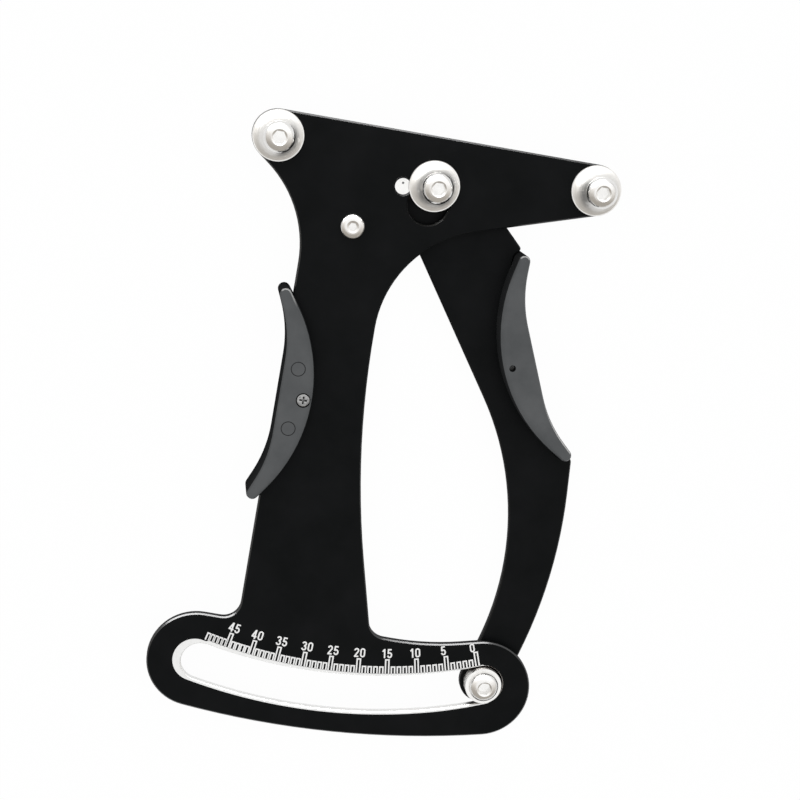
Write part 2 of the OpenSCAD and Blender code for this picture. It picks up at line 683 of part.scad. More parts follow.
// Pan head screw, with the underside of its head at z = 0
module pan_screw(r, l, hr, hh) {
    rim = hh / 2;
    crown = [for (a = [0:30:90]) [hr - (hh - rim) * (1 - cos(a)), rim + (hh - rim) * sin(a)]];
    difference() {
        union() {
            rotate_extrude() polygon(concat([[0, 0], [hr, 0]], crown, [[0, hh]]));
            translate([0, 0, -l]) cylinder(h = l + rim, r = r);
        }
        for (a = [0, 90])
            rotate(a) translate([-cross_l / 2, -cross_w / 2, hh * key_floor]) cube([cross_l, cross_w, hh]);
    }
}
pan_h = 1.1;                         // height of a pan head
cross_l = 2.6;                       // cross recess in a pan head
cross_w = 0.6;

module left_grip() {
    color([0.32, 0.33, 0.34]) place(left_grip_at) rotate(left_grip_turn) grip(plate_z, plate_t);
}
module left_grip_screw() {
    color([0.75, 0.75, 0.75]) place(grip_screw_place(left_grip_at, left_grip_turn), grip_h - head_pocket)
        pan_screw(grip_screw_r, grip_h - head_pocket - screw_floor, grip_head_r, pan_h);
}
// The same moulding, turned over
module right_grip() {
    color([0.32, 0.33, 0.34]) place(right_grip_at) rotate(right_grip_turn)
        translate([0, 0, grip_h]) rotate([180, 0, 0]) grip(grip_h - lever_top, lever_t);
}
module right_grip_screw() {
    color([0.75, 0.75, 0.75]) place(grip_screw_place(right_grip_at, right_grip_turn), head_pocket)
        rotate([180, 0, 0]) pan_screw(grip_screw_r, grip_h - head_pocket - screw_floor, grip_head_r, pan_h);
}

// --- lever and what it carries ---

module lever_plate() {
    color([0.07, 0.07, 0.08]) place(z = lever_z) difference() {
        linear_extrude(lever_t) polygon(belt(lever_discs));
        hole([0, 0], bush_r + snug, lever_t);
        hole(moving_post_at, screw_r + snug, lever_t);
        hole(pointer_at, screw_r + snug, lever_t);
        hole(hook_at, hook_shank_r + snug, lever_t);
        hole(grip_screw_place(right_grip_at, right_grip_turn), grip_screw_r + snug, lever_t);
    }
}

moving_lift = 0.3;                   // running gap under the moving post's flange
spigot_l = plate_gap + plate_t + moving_lift;

module moving_post() {
    color([0.78, 0.78, 0.77]) place(moving_post_at, plate_top + moving_lift) turned_post(post_h, spigot_l);
}
module moving_post_screw() {
    color([0.85, 0.85, 0.84]) place(moving_post_at, plate_top + moving_lift + post_h)
        button_screw(screw_r, post_h + spigot_l + lever_t + lever_nut_h + nut_tip, head_r, head_h, key_w);
}
// One flat of this nut faces the washer on the pivot
module moving_post_nut() {
    color([0.8, 0.8, 0.8]) place(moving_post_at, lever_z - lever_nut_h) rotate(moving_angle + 30)
        hex_nut(nut_w, lever_nut_h, screw_r + snug);
}

module pointer_bush() {
    color([0.75, 0.75, 0.74]) place(pointer_at, lever_top)
        ring(pointer_r, screw_r + snug, plate_gap + plate_t + pointer_rise);
}
module pointer_screw() {
    color([0.85, 0.85, 0.84]) place(pointer_at, plate_top + pointer_rise)
        button_screw(screw_r, pointer_rise + plate_t + plate_gap + lever_t + lever_nut_h + nut_tip,
            head_r, head_h, key_w, pointer_r, collar_t);
}
module pointer_nut() {
    color([0.8, 0.8, 0.8]) place(pointer_at, lever_z - lever_nut_h)
        hex_nut(nut_w, lever_nut_h, screw_r + snug);
}

main_plate();
fixed_post_left();
fixed_post_right();
fixed_post_screw_left();
fixed_post_screw_right();
fixed_post_nut_left();
fixed_post_nut_right();
pivot_pin();
thrust_washer();
pivot_bush();
tail_washer();
pivot_clip();
spring_anchor_screw();
spring_spool();
return_spring();
spring_hook_pin();
left_grip();
left_grip_screw();
lever_plate();
moving_post();
moving_post_screw();
moving_post_nut();
pointer_bush();
pointer_screw();
pointer_nut();
right_grip();
right_grip_screw();
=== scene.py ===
import json
import math

import bmesh
import bpy
from mathutils import Matrix, Vector

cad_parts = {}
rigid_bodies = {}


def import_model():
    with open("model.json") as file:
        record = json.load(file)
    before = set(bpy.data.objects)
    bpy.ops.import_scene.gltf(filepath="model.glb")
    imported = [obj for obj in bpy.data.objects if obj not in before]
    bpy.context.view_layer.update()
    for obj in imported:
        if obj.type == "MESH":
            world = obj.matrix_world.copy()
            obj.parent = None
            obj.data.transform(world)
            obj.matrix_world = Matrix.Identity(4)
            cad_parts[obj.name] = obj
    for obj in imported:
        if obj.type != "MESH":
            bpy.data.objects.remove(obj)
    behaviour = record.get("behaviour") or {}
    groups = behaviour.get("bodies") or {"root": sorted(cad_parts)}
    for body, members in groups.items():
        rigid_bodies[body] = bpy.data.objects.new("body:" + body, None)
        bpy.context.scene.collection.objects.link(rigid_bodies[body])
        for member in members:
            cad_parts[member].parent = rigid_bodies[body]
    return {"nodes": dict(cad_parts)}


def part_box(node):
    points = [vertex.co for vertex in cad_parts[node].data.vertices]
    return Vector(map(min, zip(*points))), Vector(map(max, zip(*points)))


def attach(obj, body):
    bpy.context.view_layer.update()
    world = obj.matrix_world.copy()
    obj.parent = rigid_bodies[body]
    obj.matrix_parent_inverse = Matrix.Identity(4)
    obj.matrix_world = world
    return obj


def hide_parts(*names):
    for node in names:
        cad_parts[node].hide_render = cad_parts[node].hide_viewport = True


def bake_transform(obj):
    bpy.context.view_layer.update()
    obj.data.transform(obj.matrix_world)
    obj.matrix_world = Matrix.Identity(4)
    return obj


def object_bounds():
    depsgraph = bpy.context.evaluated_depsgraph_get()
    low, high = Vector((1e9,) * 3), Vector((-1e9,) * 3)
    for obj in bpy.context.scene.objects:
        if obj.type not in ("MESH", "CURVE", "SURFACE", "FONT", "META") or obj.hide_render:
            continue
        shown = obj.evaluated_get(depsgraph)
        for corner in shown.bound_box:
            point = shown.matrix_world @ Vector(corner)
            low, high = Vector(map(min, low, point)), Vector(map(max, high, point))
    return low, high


for leftover in list(bpy.data.objects):     # Blender's own cube, lamp and camera
    bpy.data.objects.remove(leftover)

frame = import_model()
cadLow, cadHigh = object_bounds()
nodes = frame["nodes"]
mm = 0.001
print("frame loaded:", len(nodes), "nodes")


def middleOf(node):
    low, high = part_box(node)
    return (low + high) / 2


pivot = middleOf("pivot_pin")
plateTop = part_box("main_plate")[1].z


cameraSet = {
    "place": (-80.8, 127.05, 594.9),        # mm
    "lookAt": (2.91, 16.05, 11.25),         # mm
    "up": (-0.1771, 0.9842, 0.0),           # the tool lies turned by about ten degrees in the picture
    "lens": 79.4,
    "sensor": 36.0,
    "clip": (0.01, 50.0),                   # metres
}


def makeCamera(settings):
    data = bpy.data.cameras.new("camera")
    data.lens = settings["lens"]
    data.sensor_width = settings["sensor"]
    data.clip_start, data.clip_end = settings["clip"]
    camera = bpy.data.objects.new("camera", data)
    place = Vector(settings["place"]) * mm
    ahead = (Vector(settings["lookAt"]) * mm - place).normalized()
    right = ahead.cross(Vector(settings["up"])).normalized()
    up = right.cross(ahead)
    camera.matrix_world = Matrix.Translation(place) @ Matrix((right, up, -ahead)).transposed().to_4x4()
    bpy.context.scene.collection.objects.link(camera)
    bpy.context.scene.camera = camera


makeCamera(cameraSet)
bpy.context.scene.view_settings.view_transform = "Standard"
print("camera made")


def addNode(tree, kind, settings=None, **inputs):
    node = tree.nodes.new(kind)
    for key, value in (settings or {}).items():
        setattr(node, key, value)
    for key, value in inputs.items():       # i0, i1 and so on are sockets by number
        socket = node.inputs[int(key[1:]) if key[1:].isdigit() else key.replace("_", " ")]
        if isinstance(value, bpy.types.NodeSocket):
            tree.links.new(value, socket)
        else:
            socket.default_value = value
    return node


def mathNode(tree, operation, first, second=0.0):
    return addNode(tree, "ShaderNodeMath", {"operation": operation}, i0=first, i1=second).outputs[0]


def vectorNode(tree, operation, first, second=(0, 0, 0)):
    node = addNode(tree, "ShaderNodeVectorMath", {"operation": operation}, i0=first, i1=second)
    return node.outputs["Value" if operation in ("LENGTH", "DISTANCE") else "Vector"]


def axisOf(tree, vector, axis):
    return addNode(tree, "ShaderNodeSeparateXYZ", Vector=vector).outputs[axis]


def rangeNode(tree, value, span, lowest=0.0, highest=1.0, smooth=False):
    kind = "SMOOTHSTEP" if smooth else "LINEAR"
    node = addNode(tree, "ShaderNodeMapRange", {"interpolation_type": kind, "clamp": True},
                   i0=value, i1=span[0], i2=span[1], i3=lowest, i4=highest)
    return node.outputs[0]


def mixColour(tree, factor, first, second):
    both = [(*value, 1) if isinstance(value, tuple) else value for value in (first, second)]
    return addNode(tree, "ShaderNodeMix", {"data_type": "RGBA"}, i0=factor, i6=both[0], i7=both[1]).outputs[2]


def mixNumber(tree, factor, first, second):
    return addNode(tree, "ShaderNodeMix", {"data_type": "FLOAT"}, i0=factor, i2=first, i3=second).outputs[0]


roomSet = {
    "overhead": 1.18,                       # world light on the object, from straight above
    "horizon": 0.22,                        # the same, from the sides
    "domeTop": 0.9,                         # height at which it is as from above, as a sine
    "glossTop": 1.12,                       # what metal sees straight overhead
    "glossFront": 1.3,                      # towards the top of the picture
    "glossBack": 0.45,                      # towards its foot
    "glossTurn": (-0.75, 0.75),             # where one passes into the other
    "glossBand": (0.66, 0.88),              # where both pass into the overhead level, as a sine
    "warm": (1.0, 0.93, 0.84),              # tint of what metal sees towards the foot
    "paper": 0.42,                          # level of the pale band round the horizon
    "paperBand": (0.02, 0.22),              # height of that band, as a sine
    "paperShare": 0.7,                      # how far it covers the rest at its foot
}


def makeRoom(settings):
    world = bpy.data.worlds.new("room")
    bpy.context.scene.world = world
    world.use_nodes = True
    tree = world.node_tree
    back = tree.nodes["Background"]
    rays = addNode(tree, "ShaderNodeLightPath")
    glossy = rays.outputs["Is Glossy Ray"]
    way = addNode(tree, "ShaderNodeTexCoord").outputs["Generated"]
    height = axisOf(tree, way, "Z")
    front = rangeNode(tree, axisOf(tree, way, "Y"), settings["glossTurn"], smooth=True)
    sides = mixNumber(tree, front, settings["glossBack"], settings["glossFront"])
    overhead = rangeNode(tree, height, settings["glossBand"], smooth=True)
    sky = mixNumber(tree, overhead, sides, settings["glossTop"])
    paper = rangeNode(tree, height, settings["paperBand"], settings["paperShare"], 0.0, True)
    mirrored = mixNumber(tree, paper, sky, settings["paper"])
    soft = rangeNode(tree, height, (0.0, settings["domeTop"]), settings["horizon"], settings["overhead"])
    light = mixNumber(tree, glossy, soft, mirrored)
    shown = mathNode(tree, "MAXIMUM", rays.outputs["Is Camera Ray"], rays.outputs["Is Transmission Ray"])
    tree.links.new(mixNumber(tree, shown, light, 1.0), back.inputs["Strength"])
    low = mathNode(tree, "MULTIPLY", mathNode(tree, "SUBTRACT", 1.0, front),
                   mathNode(tree, "SUBTRACT", 1.0, overhead))
    tint = mathNode(tree, "MULTIPLY", glossy, low)
    tree.links.new(mixColour(tree, tint, (1, 1, 1), settings["warm"]), back.inputs["Color"])


lampSet = {
    "place": (-0.55, 1.22, 0.40),           # metres
    "aim": (0.0, 0.0, 0.01),
    "size": (1.9, 0.46),
    "power": 46.0,
}


def makeLamp(settings):
    data = bpy.data.lights.new("strip", "AREA")
    data.shape = "RECTANGLE"
    data.size, data.size_y = settings["size"]
    data.energy = settings["power"]
    lamp = bpy.data.objects.new("strip", data)
    lamp.location = settings["place"]
    lamp.rotation_euler = (Vector(settings["aim"]) - lamp.location).to_track_quat("-Z", "Y").to_euler()
    lamp.visible_camera = False
    lamp.visible_diffuse = False            # it only draws the gleam along edges
    bpy.context.scene.collection.objects.link(lamp)


floorSet = {
    "half": 3.0,                            # metres
    "below": 0.0002,
    "paper": (0.93, 0.93, 0.93),
    "bounce": (0.30, 0.30, 0.30),           # what it throws back on the object
    "glow": 0.975,                          # share of plain white that the camera sees
    "mirrored": 0.7,                        # the same, in gloss
}


def makeFloor(settings):
    mesh = bpy.data.meshes.new("paperFloor")
    half = settings["half"]
    low = cadLow.z - settings["below"]
    corners = [(-half, -half, low), (half, -half, low), (half, half, low), (-half, half, low)]
    mesh.from_pydata(corners, [], [(0, 1, 2, 3)])
    floor = bpy.data.objects.new("paperFloor", mesh)
    bpy.context.scene.collection.objects.link(floor)
    material = bpy.data.materials.new("paper")
    material.use_nodes = True
    tree = material.node_tree
    tree.nodes.remove(tree.nodes["Principled BSDF"])
    rays = addNode(tree, "ShaderNodeLightPath")
    seen = mathNode(tree, "MULTIPLY", rays.outputs["Is Camera Ray"], settings["glow"])
    mirrored = mathNode(tree, "MAXIMUM", rays.outputs["Is Glossy Ray"], rays.outputs["Is Transmission Ray"])
    share = mathNode(tree, "MAXIMUM", seen, mathNode(tree, "MULTIPLY", mirrored, settings["mirrored"]))
    colour = mixColour(tree, rays.outputs["Is Diffuse Ray"], settings["paper"], settings["bounce"])
    paper = addNode(tree, "ShaderNodeBsdfDiffuse", Color=colour)
    glow = addNode(tree, "ShaderNodeEmission", Color=(1, 1, 1, 1), Strength=1.0)
    both = addNode(tree, "ShaderNodeMixShader", i0=share, i1=paper.outputs[0], i2=glow.outputs[0])
    tree.links.new(both.outputs[0], tree.nodes["Material Output"].inputs["Surface"])
    mesh.materials.append(material)


makeRoom(roomSet)
makeLamp(lampSet)
makeFloor(floorSet)
print("room, lamp and floor made")


noiseSpan = (0.3, 0.7)                      # where a noise texture's values mostly lie


def startFinish(name, **settings):
    material = bpy.data.materials.new(name)
    material.use_nodes = True
    tree = material.node_tree
    shader = tree.nodes["Principled BSDF"]
    for key, value in settings.items():
        shader.inputs[key.replace("_", " ")].default_value = value
    return material, tree, shader


def grain(tree, space, scale, detail, rough=0.6):
    noise = addNode(tree, "ShaderNodeTexNoise", Vector=space, Scale=scale, Detail=detail, Roughness=rough)
    return noise.outputs[0]


def finishWith(tree, shader, colour, roughness, height, strength, depth):
    bump = addNode(tree, "ShaderNodeBump", Strength=strength, Distance=depth * mm, Height=height)
    tree.links.new(colour, shader.inputs["Base Color"])
    tree.links.new(roughness, shader.inputs["Roughness"])
    tree.links.new(bump.outputs[0], shader.inputs["Normal"])


slotSet = {                                 # the dial's slot, a band about the pivot
    "radius": 178.2,
    "half": 6.7,
    "left": -13.2,                          # degrees from straight down
    "right": 19.5,
    "reach": 8.2,                           # the walls and their edges lie this near the middle line
    "span": (-48.5, 67.2),                  # mm aside from the pivot
    "bareDepth": 2.75,                      # the walls are bare metal down to here; below it the black finish stays as painted shade along their foot
    "wallTurn": 0.9,                        # a wall's normal points up by less than this
}


def nearSlot(tree, space):
    local = vectorNode(tree, "SUBTRACT", space, (pivot.x, pivot.y, 0))
    reach = vectorNode(tree, "LENGTH", vectorNode(tree, "MULTIPLY", local, (1, 1, 0)))
    off = mathNode(tree, "ABSOLUTE", mathNode(tree, "SUBTRACT", reach, slotSet["radius"] * mm))
    near = mathNode(tree, "LESS_THAN", off, slotSet["reach"] * mm)
    along = axisOf(tree, local, "X")
    for operation, limit in zip(("GREATER_THAN", "LESS_THAN"), slotSet["span"]):
        near = mathNode(tree, "MULTIPLY", near, mathNode(tree, operation, along, limit * mm))
    return near


plateFinish = {
    "dark": (0.0030, 0.0036, 0.0038),       # black anodising
    "worn": (0.0062, 0.0066, 0.0072),
    "patches": 60,                          # scale of the worn tone
    "patchSpan": (0.3, 0.75),
    "roughness": (0.44, 0.54),
    "edgeRoughness": (0.23, 0.27),
    "shine": 0.05,
    "edgeShine": 0.7,
    "leverShine": 0.2,
    "grainScale": 2600,
    "grain": 0.10,
    "edgeGrain": 0.03,
    "grainDepth": 0.02,
    "bare": (0.86, 0.86, 0.85),             # machined metal in the slot
    "bareRoughness": 0.3,
}


def plateMaterial(name, settings, level, slot):
    edge = level > settings["shine"]
    material, tree, shader = startFinish(name, Specular_IOR_Level=level)
    places = addNode(tree, "ShaderNodeTexCoord")
    space = places.outputs["Object"]
    fine = grain(tree, space, settings["grainScale"], 2)
    tone = rangeNode(tree, grain(tree, space, settings["patches"], 4), settings["patchSpan"])
    colour = mixColour(tree, tone, settings["dark"], settings["worn"])
    roughness = rangeNode(tree, fine, noiseSpan, *settings["edgeRoughness" if edge else "roughness"])
    if slot:
        # the walls' foot keeps the black finish, a painted shade line
        depth = plateTop - slotSet["bareDepth"] * mm
        upright = mathNode(tree, "ABSOLUTE", axisOf(tree, places.outputs["Normal"], "Z"))
        mask = nearSlot(tree, space)
        for part in (mathNode(tree, "GREATER_THAN", axisOf(tree, space, "Z"), depth),
                     mathNode(tree, "LESS_THAN", upright, slotSet["wallTurn"])):
            mask = mathNode(tree, "MULTIPLY", mask, part)
        colour = mixColour(tree, mask, colour, settings["bare"])
        roughness = mixNumber(tree, mask, roughness, settings["bareRoughness"])
        tree.links.new(mask, shader.inputs["Metallic"])
    strength = settings["edgeGrain" if edge else "grain"]
    finishWith(tree, shader, colour, roughness, fine, strength, settings["grainDepth"])
    return material


metalBase = {                               # what a finish below doesn't say
    "metal": 1.0,
    "stretch": 0.0,                         # how far turning marks draw the gleam out
    "smears": 240,                          # scale of the shade's patches
    "paintedShadeReach": 0.0,                           # mm that painted shade reaches out of a corner
    "paintedShadeSpan": (0.35, 0.85),
    "paintedShadeColour": (0.06, 0.06, 0.06),
    "gleamSpan": (0.35, 0.65),
    "ringDepth": 0.03,
    "flatten": (1, 1, 0.6),                 # turning rings follow the radius more than the height
}


metalFinishes = {
    "turned_steel": {
        "colour": (0.84, 0.83, 0.81), "shade": (0.76, 0.745, 0.72), "roughness": (0.30, 0.42), "rings": 34,
        "depth": 0.26, "stretch": 0.4, "metal": 0.72, "paintedShadeReach": 2.0, "paintedShadeColour": (0.07, 0.05, 0.04)},
    "stainless": {
        "colour": (0.86, 0.855, 0.84), "shade": (0.77, 0.76, 0.745), "roughness": (0.14, 0.24), "rings": 22,
        "depth": 0.16, "stretch": 0.3},
    "zinc_steel": {
        "colour": (0.62, 0.63, 0.64), "shade": (0.48, 0.50, 0.52), "roughness": (0.24, 0.40), "rings": 9,
        "depth": 0.10},
    "bronze": {
        "colour": (0.56, 0.36, 0.17), "shade": (0.40, 0.24, 0.10), "roughness": (0.28, 0.44), "rings": 26,
        "depth": 0.22, "stretch": 0.3, "paintedShadeReach": 3.0, "paintedShadeColour": (0.010, 0.008, 0.006)},
    "black_steel": {
        "colour": (0.020, 0.021, 0.023), "shade": (0.010, 0.010, 0.012), "roughness": (0.34, 0.48),
        "rings": 8, "depth": 0.10},
    "spring_steel": {
        "colour": (0.58, 0.58, 0.60), "shade": (0.40, 0.40, 0.43), "roughness": (0.18, 0.30), "rings": 40,
        "depth": 0.06},
    "pivotSteel": {
        "colour": (0.86, 0.855, 0.84), "shade": (0.80, 0.795, 0.78), "roughness": (0.2, 0.3), "rings": 22,
        "depth": 0.10, "stretch": 0.3,
        "dot": (-0.2, 1.1), "dotSpan": (0.204, 0.51)},      # painted shade of the centre dimple: where it lies, and its soft rim, mm
    # bronze painted near black: painted shade of the gap between the plates
    "shadeDarkWasher": {
        "colour": (0.030, 0.024, 0.018), "shade": (0.018, 0.014, 0.010), "roughness": (0.40, 0.55),
        "rings": 20, "depth": 0.16},
    "gripScrewSteel": {
        "colour": (0.46, 0.46, 0.455), "shade": (0.16, 0.16, 0.16), "roughness": (0.24, 0.42), "rings": 14,
        "depth": 0.40, "paintedShadeReach": 1.8, "paintedShadeColour": (0.012, 0.012, 0.012), "smears": 1300},
}


def metalMaterial(name, finish):
    settings = {**metalBase, **finish}
    material, tree, shader = startFinish(name, Metallic=settings["metal"], Anisotropic=settings["stretch"])
    places = addNode(tree, "ShaderNodeTexCoord")
    space = places.outputs["Object"]
    centred = vectorNode(tree, "SUBTRACT", places.outputs["Generated"], (0.5, 0.5, 0.5))
    reach = vectorNode(tree, "LENGTH", vectorNode(tree, "MULTIPLY", centred, settings["flatten"]))
    rings = addNode(tree, "ShaderNodeTexNoise", {"noise_dimensions": "1D"},
                    W=reach, Scale=settings["rings"], Detail=3.0, Roughness=0.7).outputs[0]
    smear = grain(tree, space, settings["smears"], 4)
    colour = mixColour(tree, rangeNode(tree, smear, noiseSpan), settings["colour"], settings["shade"])
    # painted shade: darker in corners, recesses and contact rings, by ambient occlusion
    if settings["paintedShadeReach"] > 0:
        shelter = addNode(tree, "ShaderNodeAmbientOcclusion", {"samples": 8}, Distance=settings["paintedShadeReach"] * mm)
        clear = rangeNode(tree, shelter.outputs["AO"], settings["paintedShadeSpan"], smooth=True)
        colour = mixColour(tree, clear, settings["paintedShadeColour"], colour)
    # painted shade in the pivot's centre dimple
    if "dot" in settings:
        aside, up = settings["dot"]
        away = vectorNode(tree, "DISTANCE", space, (pivot.x + aside * mm, pivot.y + up * mm, plateTop))
        clear = rangeNode(tree, away, [reach * mm for reach in settings["dotSpan"]], smooth=True)
        colour = mixColour(tree, clear, settings["paintedShadeColour"], colour)
    both = mathNode(tree, "MULTIPLY", mathNode(tree, "ADD", rings, smear), 0.5)
    roughness = rangeNode(tree, both, settings["gleamSpan"], *settings["roughness"])
    finishWith(tree, shader, colour, roughness, rings, settings["depth"], settings["ringDepth"])
    if settings["stretch"] > 0:
        turning = addNode(tree, "ShaderNodeTangent", {"direction_type": "RADIAL", "axis": "Z"})
        tree.links.new(turning.outputs[0], shader.inputs["Tangent"])
    return material


# face and edge: lighter, a painted sheen of the light overhead; wall: darker, painted shade on the sides
gripLitAndShadedTones = {
    "face": {"colour": (0.108, 0.112, 0.115), "shade": (0.082, 0.086, 0.089), "roughness": (0.36, 0.48),
             "shine": 0.1},
    "edge": {"colour": (0.108, 0.112, 0.115), "shade": (0.082, 0.086, 0.089), "roughness": (0.36, 0.48),
             "shine": 0.5},
    "wall": {"colour": (0.032, 0.033, 0.034), "shade": (0.022, 0.023, 0.024), "roughness": (0.7, 0.85),
             "shine": 0.0},                 # the sides, darker as painted shade
}


gripFinish = {
    "patches": 90,                          # scale of the shade's patches
    "grainScale": 3200,
    "grain": 0.3,
    "grainDepth": 0.03,
    "edgeRoughness": 0.24,                  # polished by hands
    "flatSpan": (0.8, 0.96),                # the normal's height, from edge to flat face
    "paintedHighlight": (0.62, 0.62, 0.61),           # painted highlight on the upper horns' edges
    "paintedHighlightSpan": (0.3, 0.62),              # how far their normal points towards the posts
    "markShade": (0.03, 0.031, 0.032),         # painted shade in the mould marks' grooves
    "markDepth": 0.07,
    "markReach": 2.7,
    "marks": ((-33.4, 1.41), (-33.4, 22.01), (45.35, 25.41), (37.3, 44.37)),
}


def markMask(tree, space, settings):
    low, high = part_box("left_grip")
    rise = mathNode(tree, "SUBTRACT", axisOf(tree, space, "Z"), (low.z + high.z) / 2)
    groove = (high.z - low.z) / 2 - settings["markDepth"] * mm
    sunk = mathNode(tree, "LESS_THAN", mathNode(tree, "ABSOLUTE", rise), groove)
    level = vectorNode(tree, "MULTIPLY", space, (1, 1, 0))
    near = 0.0
    for x, y in settings["marks"]:
        reach = vectorNode(tree, "DISTANCE", level, (x * mm, y * mm, 0))
        near = mathNode(tree, "MAXIMUM", near, mathNode(tree, "LESS_THAN", reach, settings["markReach"] * mm))
    return mathNode(tree, "MULTIPLY", sunk, near)


def gripMaterial(name, settings, part):
    tones = gripLitAndShadedTones[part]
    material, tree, shader = startFinish(name, Specular_IOR_Level=tones["shine"])
    places = addNode(tree, "ShaderNodeTexCoord")
    space = places.outputs["Object"]
    fine = grain(tree, space, settings["grainScale"], 2)
    tone = rangeNode(tree, grain(tree, space, settings["patches"], 4), noiseSpan)
    colour = mixColour(tree, tone, tones["colour"], tones["shade"])
    roughness = rangeNode(tree, fine, noiseSpan, *tones["roughness"])
    if part != "wall":
        facing = places.outputs["Normal"]
        upright = mathNode(tree, "ABSOLUTE", axisOf(tree, facing, "Z"))
        flat = rangeNode(tree, upright, settings["flatSpan"], smooth=True)
        roughness = mixNumber(tree, flat, settings["edgeRoughness"], roughness)
        # painted highlight on edges that face the top of the tool
        ahead = rangeNode(tree, axisOf(tree, facing, "Y"), settings["paintedHighlightSpan"], smooth=True)
        colour = mixColour(tree, ahead, colour, settings["paintedHighlight"])
    if part == "face":
        # painted shade in the mould marks' grooves
        colour = mixColour(tree, markMask(tree, space, settings), colour, settings["markShade"])
    finishWith(tree, shader, colour, roughness, fine, settings["grain"], settings["grainDepth"])
    return material


inkFinish = {
    "colour": (0.93, 0.93, 0.92),
    "shade": (0.86, 0.86, 0.85),
    "shadeSpan": (0.4, 0.8),
    "roughness": (0.5, 0.62),
    "shine": 0.3,
    "grainScale": 900,
    "grain": 0.08,
    "grainDepth": 0.01,
}


def inkMaterial(settings):
    material, tree, shader = startFinish("dialInk", Specular_IOR_Level=settings["shine"])
    fine = grain(tree, addNode(tree, "ShaderNodeTexCoord").outputs["Object"], settings["grainScale"], 3)
    tone = rangeNode(tree, fine, settings["shadeSpan"])
    colour = mixColour(tree, tone, settings["colour"], settings["shade"])
    roughness = rangeNode(tree, fine, noiseSpan, *settings["roughness"])
    finishWith(tree, shader, colour, roughness, fine, settings["grain"], settings["grainDepth"])
    return material


finishes = {name: metalMaterial(name, finish) for name, finish in metalFinishes.items()}
finishes["grey_grip"] = gripMaterial("greyGrip", gripFinish, "face")
gripShadedWall = gripMaterial("greyGripShadedWall", gripFinish, "wall")
gripRim = gripMaterial("greyGripEdge", gripFinish, "edge")
finishes["black_plate"] = plateMaterial("blackPlate", plateFinish, plateFinish["shine"], False)
finishes["dialPlate"] = plateMaterial("dialPlate", plateFinish, plateFinish["shine"], True)
dialEdge = plateMaterial("dialEdge", plateFinish, plateFinish["edgeShine"], True)
leverEdge = plateMaterial("leverEdge", plateFinish, plateFinish["leverShine"], False)
dialInk = inkMaterial(inkFinish)

ownFinishes = {                             # nodes that differ from their slot's finish
    "main_plate": "dialPlate",
    "pivot_pin": "pivotSteel",
    "thrust_washer": "shadeDarkWasher",
    "left_grip_screw": "gripScrewSteel",
    "right_grip_screw": "gripScrewSteel",
}
for name, node in nodes.items():
    slot = node.material_slots[0].material.name.split(".")[0]
    node.material_slots[0].material = finishes[ownFinishes.get(name, slot)]
print("finishes made")


edgeSet = {
    "weld": 0.002,                          # mm
    "dissolve": 0.2,                        # degrees; flats joined before the chamfer
    "softBelow": 31,                        # degrees; gentler edges are shaded smooth
    "chamfer": 0.45,
    "slotShare": 0.5,                       # of that width, round the slot
    "chamferAbove": 38,                     # degrees
    "round": 0.5,
    "roundAbove": 50,
    "roundFrom": 18.0,                      # mm from the grip's middle: only the horns' edges are rounded
    "roundFull": 27.0,
    "rimNear": 0.05,                        # mm; the rounded edges lie this near the face
    "wallTurn": 0.5,                        # a grip's wall has a normal that points up by less
}


def geometryTool(name, build):
    tree = bpy.data.node_groups.new(name, "GeometryNodeTree")
    tree.interface.new_socket("Geometry", in_out="INPUT", socket_type="NodeSocketGeometry")
    tree.interface.new_socket("Geometry", in_out="OUTPUT", socket_type="NodeSocketGeometry")
    start = tree.nodes.new("NodeGroupInput")
    end = tree.nodes.new("NodeGroupOutput")
    tree.links.new(build(tree, start.outputs[0]), end.inputs[0])
    return tree


def edgeTurn(tree, operation, degrees):
    angle = addNode(tree, "GeometryNodeInputMeshEdgeAngle").outputs[0]
    node = addNode(tree, "FunctionNodeCompare", {"data_type": "FLOAT", "operation": operation},
                   i0=angle, i1=math.radians(degrees))
    return node.outputs[0]


def storeWeight(tree, geometry, sharp, weight):
    store = addNode(tree, "GeometryNodeStoreNamedAttribute", {"data_type": "FLOAT", "domain": "EDGE"},
                    i0=geometry, Name="bevel_weight_edge", Selection=sharp, Value=weight)
    return store.outputs[0]


def weldSteps(tree, geometry):
    bare = addNode(tree, "GeometryNodeRemoveAttribute", i0=geometry, Name="custom_normal").outputs[0]
    return addNode(tree, "GeometryNodeMergeByDistance", i0=bare, Distance=edgeSet["weld"] * mm).outputs[0]


def shadeSteps(tree, geometry):
    faces = addNode(tree, "GeometryNodeSetShadeSmooth", {"domain": "FACE"}, i0=geometry).outputs[0]
    for operation, smooth in (("LESS_EQUAL", True), ("GREATER_THAN", False)):
        soft = edgeTurn(tree, operation, edgeSet["softBelow"])
        faces = addNode(tree, "GeometryNodeSetShadeSmooth", {"domain": "EDGE"},
                        i0=faces, Selection=soft, Shade_Smooth=smooth).outputs[0]
    return faces


def chamferSteps(tree, geometry):
    near = nearSlot(tree, addNode(tree, "GeometryNodeInputPosition").outputs[0])
    less = mathNode(tree, "MULTIPLY", near, 1 - edgeSet["slotShare"])
    sharp = edgeTurn(tree, "GREATER_THAN", edgeSet["chamferAbove"])
    return storeWeight(tree, geometry, sharp, mathNode(tree, "SUBTRACT", 1.0, less))


